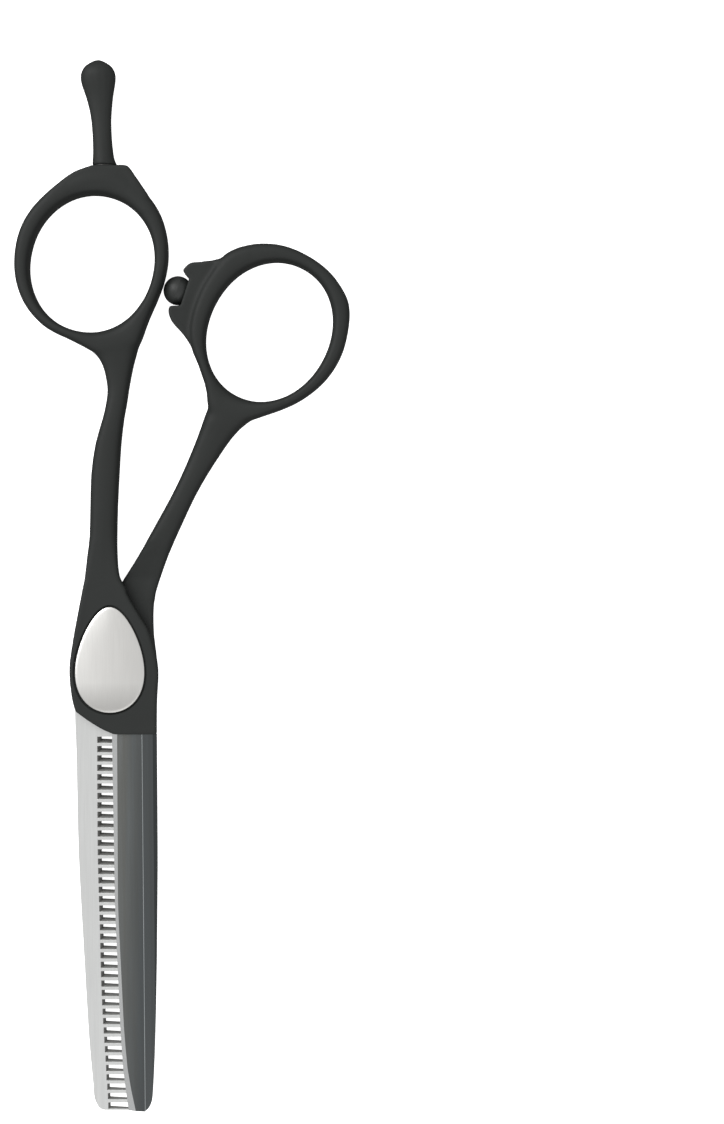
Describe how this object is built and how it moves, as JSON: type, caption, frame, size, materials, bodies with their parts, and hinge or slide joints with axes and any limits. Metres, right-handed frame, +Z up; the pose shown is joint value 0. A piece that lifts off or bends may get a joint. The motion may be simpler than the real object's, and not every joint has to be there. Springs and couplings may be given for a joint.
{
  "type": "thinning shears",
  "caption": "Closed thinning shears lying flat: plain blade over a toothed comb blade, offset black ring handles, finger rest, bumper, and a dial that sets the pivot's tension.",
  "frame": {"origin": "on the pivot axis, at the flat underside of the tension nut, which is the plane the shears lie on", "axes": "+Y from the pivot towards the handles, +Z up along the pivot axis, +X towards the thumb ring"},
  "size_m": [0.0541, 0.1695, 0.0066],
  "materials": {
    "handle_coating": "matte black coating on steel",
    "washer_steel": "blackened, turned",
    "dark_blade_steel": "polished, dark tinted",
    "comb_blade_steel": "fine satin",
    "bumper_rubber": "moulded, matte",
    "cover_plate_steel": "brushed",
    "pivot_steel": "turned",
    "slip_plastic": "smooth",
    "bearing_bronze": "turned",
    "spring_steel": "stamped strip"
  },
  "bodies": {
    "finger_side": {"finger_handle": "handle_coating", "finger_rest": "handle_coating", "finger_rest_washer": "washer_steel", "plain_blade": "dark_blade_steel", "cover_plate": "cover_plate_steel", "pivot_bolt": "pivot_steel", "head_washer": "slip_plastic", "ride_washer": "slip_plastic", "thrust_washer": "bearing_bronze", "wave_spring": "spring_steel", "click_plate": "spring_steel"},
    "thumb_side": {"thumb_handle": "handle_coating", "comb_blade": "comb_blade_steel", "bumper_ball": "bumper_rubber", "bumper_stem": "handle_coating", "pivot_bushing": "bearing_bronze"},
    "tension_dial": {"tension_nut": "pivot_steel"}
  },
  "joints": [
    {"name": "blade_pivot", "type": "hinge", "parent": "finger_side", "child": "thumb_side", "pos_m": [0, 0, 0.0033], "axis": [0, 0, -1], "range_deg": [0, 90]},
    {"name": "tension_adjust", "type": "hinge", "parent": "finger_side", "child": "tension_dial", "pos_m": [0, 0, 0.0006], "axis": [0, 0, 1], "range_deg": [-180, 180]}
  ]
}
